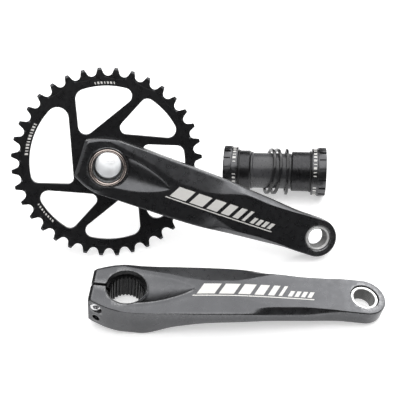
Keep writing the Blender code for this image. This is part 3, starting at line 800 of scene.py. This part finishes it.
def build_trim_ring(finishes, drive):
    """The bevel ring at the axle's outer end, its upper side a flat arch."""
    low, high = TRIM_SEAT + GAP, BOSS_FACE + COLLAR_HEIGHT + 0.3
    inner = AXLE_RADIUS - 0.3
    middle, half, rise = (inner + TRIM_RADIUS) / 2, (TRIM_RADIUS - inner) / 2, 1.1
    turns = np.linspace(0, math.pi, 17)
    bead = [(middle + half * math.cos(turn), high - rise + rise * math.sin(turn)) for turn in turns]
    ring = turned([(inner, low), (TRIM_RADIUS, low), *bead], ROUND)
    fine("bore_trim_ring", ring, drive, "drive_crank", "bronze_anodised", finishes["bronze"])


def build_axle(finishes, drive):
    """A ground tube, splined and chamfered where the left arm clamps on, its bore narrower there."""
    steps = ((AXLE_RADIUS - 1.2, AXLE_STEP - 1.5), (AXLE_RADIUS, AXLE_STEP - 0.3), (AXLE_RADIUS, AXLE_TOP))
    body = rod(steps, ROUND)
    outer, root = spline_outline(AXLE_RADIUS - 0.05, SPLINE_DEPTH), spline_outline(AXLE_RADIUS - 1.2, 0.0)
    splines = stack([(root, -AXLE_END), (outer, -AXLE_END + 1.2), (outer, AXLE_STEP)])
    inner = AXLE_INNER_BORE
    steps = ((inner + 4.0, -AXLE_END - 3.2), (inner, -AXLE_END + 0.8), (inner, AXLE_STEP - 1.0))
    steps += ((AXLE_BORE, AXLE_STEP + 1.0), (AXLE_BORE, AXLE_TOP - 0.5), (AXLE_BORE + 2.5, AXLE_TOP + 2))
    axle = carve(body, [("UNION", splines), *cuts(rod(steps, ROUND))])
    fine("axle", axle, drive, "drive_crank", "axle_steel", finishes["steel"])


# Chainring


def tooth_outline():
    """Roller seats on the pitch circle, with a narrow flat-topped tooth between each two."""
    outline = []
    for tooth in range(TEETH):
        angle = TOOTH_PHASE + tooth * 360 / TEETH
        centre = polar(PITCH_RADIUS, angle)
        for turn in np.linspace(*SEAT_ARC, 11):
            outline.append(centre + polar(ROLLER_SEAT, angle - turn))
        for radius, half in TOOTH_FLANK:
            outline.append(polar(radius, angle + 180 / TEETH - math.degrees(half / radius)))
        for radius, half in reversed(TOOTH_FLANK):
            outline.append(polar(radius, angle + 180 / TEETH + math.degrees(half / radius)))
    return outline


def relief():
    """The ring's thickness as a solid, thinner past a scalloped ledge, except under each second tooth."""
    rings = []
    total = TEETH * RELIEF_STEPS
    for step in range(total):
        from_wide = abs((step / RELIEF_STEPS + 1) % 2 - 1)  # in teeth, from the nearest wide one
        depth = LEDGE_DEPTH * float(np.clip((from_wide - 0.3) / 0.08, 0.02, 1))
        ledge = LEDGE_RADIUS + 1.9 * math.cos(math.pi * from_wide / 2) ** 2
        half = [(10, 0), (ledge, 0), (ledge + 0.3, -depth), (73.4, -depth), (76.5, -depth - 0.95)]
        profile = half + [(r, -RING_THICKNESS - z) for r, z in reversed(half)]
        x, y = polar(1, TOOTH_PHASE + 180 / TEETH + step * 360 / total)
        rings.append([(r * x, r * y, z) for r, z in profile])
    return lofted(rings, closed=True)


def arc(centre, radius, start, end, steps):
    """Points on a circle from one direction to another, the short way round."""
    sweep = (end - start + 180) % 360 - 180
    return [centre + polar(radius, start + sweep * step / steps) for step in range(steps + 1)]


def rim_fillet(corner, direction, inward, radius):
    """The centre of a circle that touches a window's straight edge and its rim."""
    start = corner + inward * radius
    along = start @ direction
    reach = along**2 - start @ start + (WINDOW_RADIUS - radius) ** 2
    return start + direction * (math.sqrt(reach) - along)


def window_outline(corner, first, second, inner_radius, first_radius, second_radius, steps=10):
    """A window: a corner near the hub, two straight edges out of it and the rim's arc between them."""
    corner = np.array(corner)
    directions = [polar(1, first), polar(1, second)]
    inwards = [polar(1, first + 90), polar(1, second - 90)]
    middle = (first + second) / 2
    centre = corner + polar(inner_radius / math.sin(math.radians((second - first) / 2)), middle)
    points = arc(centre, inner_radius, second + 90, first - 90, steps)
    one = rim_fillet(corner, directions[0], inwards[0], first_radius)
    two = rim_fillet(corner, directions[1], inwards[1], second_radius)
    rim_one = math.degrees(math.atan2(one[1], one[0]))
    rim_two = math.degrees(math.atan2(two[1], two[0]))
    points += arc(one, first_radius, first - 90, rim_one, steps)
    points += arc(np.zeros(2), WINDOW_RADIUS, rim_one, rim_two, 3 * steps)[1:-1]
    points += arc(two, second_radius, rim_two, second + 90, steps)
    return points


def grown(outline, distance):
    """An outline that runs anticlockwise, moved outwards."""
    points = np.array(outline)
    along = np.roll(points, -1, axis=0) - np.roll(points, 1, axis=0)
    along /= np.linalg.norm(along, axis=1)[:, None]
    return points + distance * np.stack((along[:, 1], -along[:, 0]), axis=1)


def window_cutters():
    """Three windows, and the same three half a turn round, each chamfered at both faces."""
    cutters = []
    for shape in WINDOWS:
        outline = np.array(window_outline(*shape))
        for points in (outline, -outline):
            chamfer, low = WINDOW_CHAMFER, -RING_THICKNESS
            mouth, past = grown(points, chamfer), grown(points, chamfer + 1)
            levels = [(past, low - 1), (mouth, low), (points, low + chamfer)]
            levels += [(points, -chamfer), (mouth, 0), (past, 1)]
            cutters.append(stack(levels))
    return cutters


def build_chainring(finishes, drive):
    back = -RING_THICKNESS
    hub = rod(((HUB_HOLE + 1.3, back - 1), (HUB_HOLE, back + 0.3), (HUB_HOLE, 2)), ROUND)
    holes = joined([*window_cutters(), hub, *bolt_holes(back - 3, 3)])
    plate = prism(tooth_outline(), back - 0.5, 0.5)
    ring = carve(relief(), [("INTERSECT", plate), *cuts(holes)])
    fine("chainring", ring, drive, "drive_crank", "chainring_black", finishes["ring"], sharp=12)
    under, shank, finish = back - GAP, RING_BOLT_RADIUS, finishes["black_steel"]
    for number, place in enumerate(bolt_places(), 1):
        steps = ((2.9, under - 1.8), (3.5, under - 1.6), (3.8, under - 1.1), (3.8, under), (shank, under))
        screw = rod(steps + ((shank, 7.6), (shank - 0.4, 8)), 48)
        socket = rod(((1.9, under - 2.4), (1.5, under - 1.7), (1.5, under - 0.6)), 6)
        data = carve(moved(screw, place), cuts(moved(socket, place)))
        fine(f"chainring_bolt_{number}", data, drive, "drive_crank", "black_steel", finish, axis=place)
    build_ring_ticks(finishes, drive)


def build_ring_ticks(finishes, drive):
    """Plain ticks printed on the chainring's face, in three short runs."""
    solids = []
    for middle, count, length in TICK_RUNS:
        inner, outer = TICK_RADIUS - length / 2, TICK_RADIUS + length / 2
        for index in range(count):
            turn = middle + TICK_PITCH * (index - (count - 1) / 2)
            half = 0.7 if index % 3 else 0.4
            shape = [(inner, -half), (outer, -half + 0.4), (outer, half + 0.4), (inner, half)]
            solids.append(moved(prism(shape, PRINT_BASE, 0.06), Matrix.Rotation(math.radians(turn), 4, "Z")))
    piece("ring_ticks", joined(solids), drive, "drive_crank", [], "machined_silver", finishes["print"])


# Left arm


def clamp_axis(name):
    """A bolt's axis across the clamp, with z towards its head, which is at negative or positive y."""
    side, depth = CLAMP_BOLTS[name]
    return shift(CLAMP_BOLT_X, 0, -depth) @ Matrix.Rotation(math.radians(-90 * side), 4, "X")


def clamp_bolt(name, finish, left):
    """A socket screw across the clamp, its head knurled and its shank threaded."""
    seat = CLAMP_SEAT + GAP
    top = seat + CLAMP_HEAD_HEIGHT
    shank, head, end = CLAMP_BOLT_RADIUS, CLAMP_HEAD_RADIUS, -CLAMP_BOLT_END
    thread = thread_run(shank, end + 0.5, seat - 2.5, 0.45, 0.9)
    profile = [(0.6, end), (shank - 0.5, end), *thread, (shank, seat), (head, seat), (head, top - 0.5)]
    mesh = turned([*profile, (head - 0.5, top), (0.6, top)], ROUND)
    for vertex in mesh.verts:  # the knurl
        radius = math.hypot(vertex.co.x, vertex.co.y)
        if radius > head - 0.1 and vertex.co.z < top - 0.4:
            ripple = KNURL_DEPTH * math.cos(KNURL_TEETH * math.atan2(vertex.co.y, vertex.co.x))
            vertex.co.xy *= 1 - (KNURL_DEPTH - ripple) / radius
    socket = rod(((3.1, top + 0.5), (2.3, top - 0.3), (2.3, top - 2.6), (0.5, top - 3.4)), 6)
    core = rod(((0.9, end + 0.2), (0.9, top - 3.6)), 12)
    axis = clamp_axis(name)
    data = carve(mesh, [("UNION", core), *cuts(socket)])
    data.transform(axis)
    fine(name, data, left, name, "bolt_steel", finish, axis=axis)


def build_left_arm(finishes, left):
    floor = -CAP_SEAT_DEPTH
    seat = ((CAP_SEAT_RADIUS, floor), (CAP_SEAT_RADIUS, COLLAR_HEIGHT - 0.45), (CAP_SEAT_RADIUS + 5, 5))
    root = AXLE_RADIUS + GAP + SPLINE_DEPTH
    mouth = ((root + 0.4, floor + 0.2), (root + 0.4, floor - 0.4), (root - 0.6, floor - 1.4))
    lip = ((COLLAR_RADIUS, COLLAR_HEIGHT - 0.3), (COLLAR_RADIUS - 0.3, COLLAR_HEIGHT))
    collar = rod(((COLLAR_RADIUS, -8), *lip), ROUND)
    slot = [(-50, -SLIT / 2), (-10, -SLIT / 2), (-10, SLIT / 2), (-50, SLIT / 2)]
    splines = prism(spline_outline(root, SPLINE_DEPTH), -BOSS_THICKNESS - 10, -2)
    steps = [("UNION", collar)]
    steps += cuts(rod(seat, ROUND), rod(mouth, ROUND), splines, pedal_eye(0.0), prism(slot, -40, 10))
    shank, head = CLAMP_BOLT_RADIUS + GAP, CLAMP_HEAD_RADIUS + GAP
    for name in CLAMP_BOLTS:
        hole = rod(((shank, -30), (shank, CLAMP_SEAT), (head, CLAMP_SEAT), (head, 30)), 48)
        steps += cuts(moved(hole, clamp_axis(name)))
    arm = carve(forging(0.0, LEFT_END, BOSS_THICKNESS, LEFT_BOSS_REACH, -1), steps)
    fine("left_arm", arm, left, "left_crank", "black_anodised", finishes["arm"])
    pedal_insert("left_pedal_insert", finishes["silver"], left, "left_crank", 0.0)
    graphic("left_graphic", finishes["print"], left, "left_crank", 0.0)
    for name in CLAMP_BOLTS:
        clamp_bolt(name, finishes["bolt"], left)


# Bottom bracket


def build_cup(finishes, side, cup):
    """A cup, with tool notches in its flange and a groove before its thread."""
    end = FLANGE_LENGTH + CUP_THREADS[side]
    pocket, flange, collar = POCKET_RADIUS, FLANGE_RADIUS, FLANGE_COLLAR
    root, groove = THREAD_RADIUS - 1.2, FLANGE_LENGTH + 1.8
    profile = [(pocket, POCKET_DEPTH), (pocket, 0.3), (pocket + 0.3, 0), (flange - 0.6, 0)]
    profile += [(flange - 0.2, 0.2), (flange, 0.7), (flange, NOTCH_LENGTH + 0.5)]
    profile += [(flange - 0.25, NOTCH_LENGTH + 0.9), (collar, NOTCH_LENGTH + 1.1)]
    profile += [(collar, FLANGE_LENGTH - 0.5), (collar - 0.15, FLANGE_LENGTH - 0.15)]
    profile += [(collar - 0.5, FLANGE_LENGTH), (root, FLANGE_LENGTH), (root, groove)]
    profile += thread_run(THREAD_RADIUS, groove + 0.3, end - 0.8, CUP_THREAD_DEPTH, THREAD_PITCH)
    profile += [(THREAD_RADIUS - 0.8, end), (CUP_BORE + 0.3, end), (CUP_BORE, end - 0.3)]
    profile.append((CUP_BORE, POCKET_DEPTH))
    notches = []
    half = NOTCH_WIDTH / 2
    shape = rounded_outline([(-half, -5), (half, -5), (half, NOTCH_LENGTH), (-half, NOTCH_LENGTH)], 0.5)
    stand = Matrix.Rotation(math.radians(90), 4, "Y") @ Matrix.Rotation(math.radians(90), 4, "Z")
    for notch in range(NOTCHES):
        turn = Matrix.Rotation(2 * math.pi * notch / NOTCHES, 4, "Z")
        notches.append(moved(prism(shape, FLANGE_RADIUS - 1.1, FLANGE_RADIUS + 2), turn @ stand))
    data = carve(turned(profile, ROUND), cuts(joined(notches)))
    fine(f"bb_cup_{side}", data, cup, f"cup_{side}", "black_anodised", finishes["cup"])


def build_cup_ticks(finishes, side, cup):
    """Plain ticks printed round a cup's collar."""
    ticks = []
    inner, outer = FLANGE_COLLAR, FLANGE_COLLAR + 0.05
    for tick in range(CUP_TICKS):
        if tick % (CUP_TICKS // 3) > CUP_TICKS // 3 - 5:
            continue
        half = 0.75 if tick % 4 == 1 else 0.4
        shape = [(inner, -half), (outer, -half), (outer, half), (inner, half)]
        turn = Matrix.Rotation(2 * math.pi * (tick + 0.3 * (tick % 3)) / CUP_TICKS, 4, "Z")
        ticks.append(moved(prism(shape, NOTCH_LENGTH + 2.0, FLANGE_LENGTH - 1.4), turn))
    piece(f"cup_ticks_{side}", joined(ticks), cup, f"cup_{side}", [], "machined_silver", finishes["print"])


def build_cup_rings(finishes, side, cup):
    """A cup's dust cap, with the sleeve that reaches into the bearing, and the O-ring under its flange."""
    bore, sleeve = AXLE_RADIUS + 0.1, SLEEVE_FLANGE
    corners = [(bore, 0.35), (bore + 0.6, 0.2), (14.6, 0.2), (14.9, 0.55), (16.6, 0.55), (16.9, 0.2)]
    corners += [(18.2, 0.2), (18.4, 0.5), (18.4, 1.2), (sleeve, 1.2), (sleeve, 8.6), (bore, 8.6)]
    cap = turned(corners, ROUND)
    fine(f"dust_cap_{side}", cap, cup, f"bearing_{side}", "cap_plastic", finishes["cap"])
    circle = [tuple(polar(0.65, 30 * i) + (THREAD_RADIUS - 0.2, FLANGE_LENGTH + 1.0)) for i in range(12)]
    ring = turned(circle, ROUND)
    fine(f"flange_oring_{side}", ring, cup, f"cup_{side}", "seal_rubber", finishes["rubber"])


def build_sleeve(finishes, bb):
    """The shield tube, with a lip at its left end and a plug into either cup."""
    left = -BB_HALF + FLANGE_LENGTH + CUP_THREADS["left"] + GAP
    right = BB_HALF - FLANGE_LENGTH - CUP_THREADS["right"] - GAP
    plug = CUP_BORE - GAP
    lip = SLEEVE_RADIUS + 0.8
    profile = [(SLEEVE_BORE, left - 8), (plug - 0.4, left - 8), (plug, left - 7.5), (plug, left)]
    profile += [(lip - 0.3, left), (lip, left + 0.3), (lip, left + 1.2), (lip - 0.25, left + 1.5)]
    heights = (left + 2.1, *np.linspace(left + 4, right - 1.2, 8), right - 0.3)
    profile += [(SLEEVE_RADIUS, z) for z in heights]
    profile += [(SLEEVE_RADIUS - 0.3, right), (plug, right)]
    profile += [(plug, right + 11.5), (plug - 0.4, right + 12), (SLEEVE_BORE, right + 12)]
    fine("bb_sleeve", turned(profile, ROUND), bb, "bb_shield", "sleeve_plastic", finishes["sleeve"])


def build_spacers(finishes, bb):
    """Loose shell spacers that lean on the sleeve, each its own way."""
    inner, outer = SPACER_RADII
    half = SPACER_THICKNESS / 2
    corners = [(inner, -half), (outer, -half), (outer, half), (inner, half)]
    sag = FLANGE_RADIUS - outer - GAP / 2
    for number, (along, fore, sideways) in enumerate(SPACERS, 1):
        tilt = Matrix.Rotation(math.radians(fore), 4, "Y") @ Matrix.Rotation(math.radians(sideways), 4, "X")
        axis = shift(sag, 0, along) @ tilt
        ring = moved(turned(rounded_outline(corners, 0.7, 6), ROUND), axis)
        name, body = f"spacer_ring_{number}", f"spacer_{number}"
        fine(name, ring, bb, body, "spacer_black", finishes["spacer"], axis=axis)


def finish_hidden(finishes):
    """The bearings' own solids are right as they are and get better materials."""
    for side in ("left", "right"):
        for part in ("outer_race", "inner_race", "ball_cage"):
            give(frame["nodes"][f"{part}_{side}"], finishes["race"])
        for part in ("outer_seal", "inner_seal"):
            give(frame["nodes"][f"{part}_{side}"], finishes["seal"])


def give(node, material):
    for slot in node.material_slots:
        slot.link = "OBJECT"
        slot.material = material


# Studio


def area_light(name, radiance, size, place, aim):
    """A soft box of an even radiance, facing its aim."""
    data = bpy.data.lights.new(name, "AREA")
    data.shape = "RECTANGLE"
    data.size, data.size_y = size
    data.energy = radiance * math.pi * size[0] * size[1]
    made = placed(name, data)
    made.location = place
    made.rotation_euler = (Vector(aim) - Vector(place)).to_track_quat("-Z", "Y").to_euler()


def build_studio():
    for light in LIGHTS:
        area_light(*light)
    world = bpy.data.worlds.new("studio")
    world.use_nodes = True
    nodes, links = world.node_tree.nodes, world.node_tree.links
    dim, pale = nodes["Background"], nodes.new("ShaderNodeBackground")
    either = nodes.new("ShaderNodeMixShader")
    dim.inputs["Color"].default_value = DIM
    pale.inputs["Color"].default_value = PALE
    links.new(nodes.new("ShaderNodeLightPath").outputs["Is Camera Ray"], either.inputs[0])
    links.new(dim.outputs[0], either.inputs[1])
    links.new(pale.outputs[0], either.inputs[2])
    links.new(either.outputs[0], nodes["World Output"].inputs["Surface"])
    bpy.context.scene.world = world

    mesh = bmesh.new()
    bmesh.ops.create_grid(mesh, x_segments=40, y_segments=40, size=4.0)
    floor = placed("floor", mesh_data(mesh, "floor"))
    material = bpy.data.materials.new("pale_floor")
    material.use_nodes = True
    shader = material.node_tree.nodes["Principled BSDF"]
    for socket, value in FLOOR.items():
        shader.inputs[socket].default_value = value
    floor.data.materials.append(material)


def build_camera():
    data = bpy.data.cameras.new("camera")
    data.lens = LENS
    data.sensor_width = 36.0
    data.clip_start = 0.01
    camera = placed("camera", data)
    camera.location = CAMERA_PLACE
    camera.rotation_euler = [math.radians(angle) for angle in CAMERA_TURN]
    bpy.context.scene.camera = camera
    bpy.context.scene.view_settings.view_transform = "Standard"


def main():
    mounts = {mount["name"]: mount for mount in frame["record"]["mounts"]}
    joints = {joint["name"]: joint for joint in frame["joints"]}
    drive, left, bb = drive_frame(mounts), left_frame(mounts, joints), bb_frame(joints)
    build_camera()
    build_studio()
    silver, steel, bronze = (0.93, 0.93, 0.92), (0.75, 0.76, 0.77), (0.5, 0.43, 0.395)
    finishes = {
        # each anodised finish's second colour is its edges' wear and painted highlight
        # the arms are painted darker within radius 14.7 as shade in their bores
        "arm": anodised("arm_anodised", (0.085, 0.086, 0.09), (0.36, 0.36, 0.365), 0.3, bore=14.7),
        "cup": anodised("cup_anodised", (0.085, 0.085, 0.088), (0.11, 0.11, 0.114), 0.3, grain_depth=2),
        "ring": anodised("ring_anodised", (0.07, 0.07, 0.073), (0.085, 0.085, 0.088), 0.3, 2, machined=True),
        # the pedal inserts' thread holes are painted darker as shade
        "silver": turned_metal("turned_silver", silver, 0.3, bore=7.75, bore_shade_share=0.2, metallic=0.45),
        "steel": turned_metal("ground_steel", steel, 0.16, 2.5, 3, lengthwise=True, bore=11.0),
        "bronze": turned_metal("bronze_anodised", bronze, 0.24, per_mm=2.0, depth=1, metallic=0.9),
        "bolt": turned_metal("zinc_bolt", (0.75, 0.75, 0.76), 0.22, depth=4),
        "black_steel": turned_metal("oxide_steel", (0.06, 0.06, 0.062), 0.36),
        "sleeve": moulded("sleeve_plastic", (0.05, 0.05, 0.053), 0.3, draw=2),
        "spacer": moulded("spacer_gloss", (0.012, 0.012, 0.013), 0.16, grain=2.0),
        "cap": moulded("cap_plastic", (0.02, 0.02, 0.021), 0.4),
        "rubber": moulded("seal_rubber", (0.015, 0.015, 0.016), 0.42),
        "race": hidden_metal("bearing_steel", (0.7, 0.7, 0.71), 0.2),
        "seal": hidden_rubber("hidden_rubber", (0.02, 0.02, 0.021), 0.5),
        "print": printed("silver_print", (0.78, 0.77, 0.74)),
    }
    build_drive_arm(finishes, drive)
    build_trim_ring(finishes, drive)
    build_axle(finishes, drive)
    build_chainring(finishes, drive)
    build_left_arm(finishes, left)
    for side in ("left", "right"):
        cup = cup_frame(side, bb)
        build_cup(finishes, side, cup)
        build_cup_ticks(finishes, side, cup)
        build_cup_rings(finishes, side, cup)
    build_sleeve(finishes, bb)
    build_spacers(finishes, bb)
    finish_hidden(finishes)


main()
